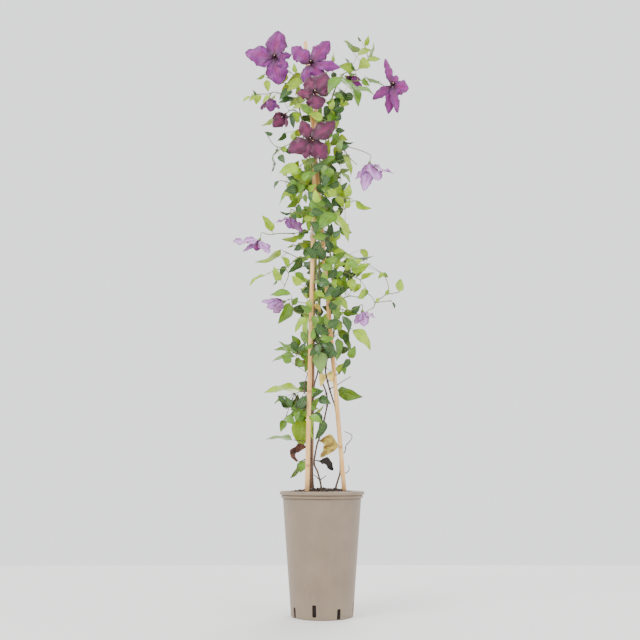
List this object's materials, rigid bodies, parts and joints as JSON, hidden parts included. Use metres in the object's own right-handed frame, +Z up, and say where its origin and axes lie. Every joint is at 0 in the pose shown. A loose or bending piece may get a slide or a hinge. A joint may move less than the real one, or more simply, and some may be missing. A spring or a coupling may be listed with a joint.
{
  "type": "potted clematis plant",
  "caption": "Climbing clematis in flower, trained up a tepee of tied bamboo canes in a tapered nursery pot with a rolled rim, violet blooms among small green leaflets.",
  "frame": {"origin": "centre of the pot's flat underside", "axes": "+Z up along the pot's axis and the plant, -Y towards the side that the picture shows, +X to that view's right"},
  "size_m": [0.3337, 0.1609, 1.0972],
  "materials": {
    "pot": "matt taupe moulded plastic, faintly dusty",
    "soil": "crumbly dark potting mix of composted bark and peat",
    "cane": "pale dry bamboo, satin",
    "tie": "pale soft cord",
    "bark": "brown fibrous bark",
    "leaf": "fresh leaf, satin, paler beneath",
    "sepal": "velvety violet sepal, paler behind",
    "withered_leaf": "withered leaf, dry and dull",
    "dead_leaf": "dead leaf, dry and dull"
  },
  "bodies": {
    "root": {"pot": "pot", "soil": "soil", "cane_left": "cane", "cane_right": "cane", "cane_back": "cane", "tie_upper": "tie", "tie_lower": "tie", "woody_stem_left": "bark", "woody_stem_right": "bark", "woody_stem_back": "bark", "leafy_left_foot": "leaf", "leafy_left_low": "leaf", "leafy_left_mid": "leaf", "leafy_left_high": "leaf", "leafy_left_crown": "leaf", "leafy_right_foot": "leaf", "leafy_right_low": "leaf", "leafy_right_mid": "leaf", "leafy_right_high": "leaf", "leafy_right_crown": "leaf", "leafy_back_foot": "leaf", "leafy_back_low": "leaf", "leafy_back_mid": "leaf", "leafy_back_high": "leaf", "leafy_back_crown": "leaf", "bloom_crown_left": "sepal", "bloom_crown_centre": "sepal", "bloom_crown_front": "sepal", "bloom_centre": "sepal", "bloom_right": "sepal", "bloom_nodding_right": "sepal", "bloom_arched": "sepal", "bloom_left_side": "sepal", "bloom_left_lower": "sepal", "bloom_nodding_left": "sepal", "bloom_hidden": "sepal", "bloom_low_left": "sepal", "bloom_low_right": "sepal", "withered_leaf": "withered_leaf", "dead_leaf": "dead_leaf"}
  },
  "joints": []
}
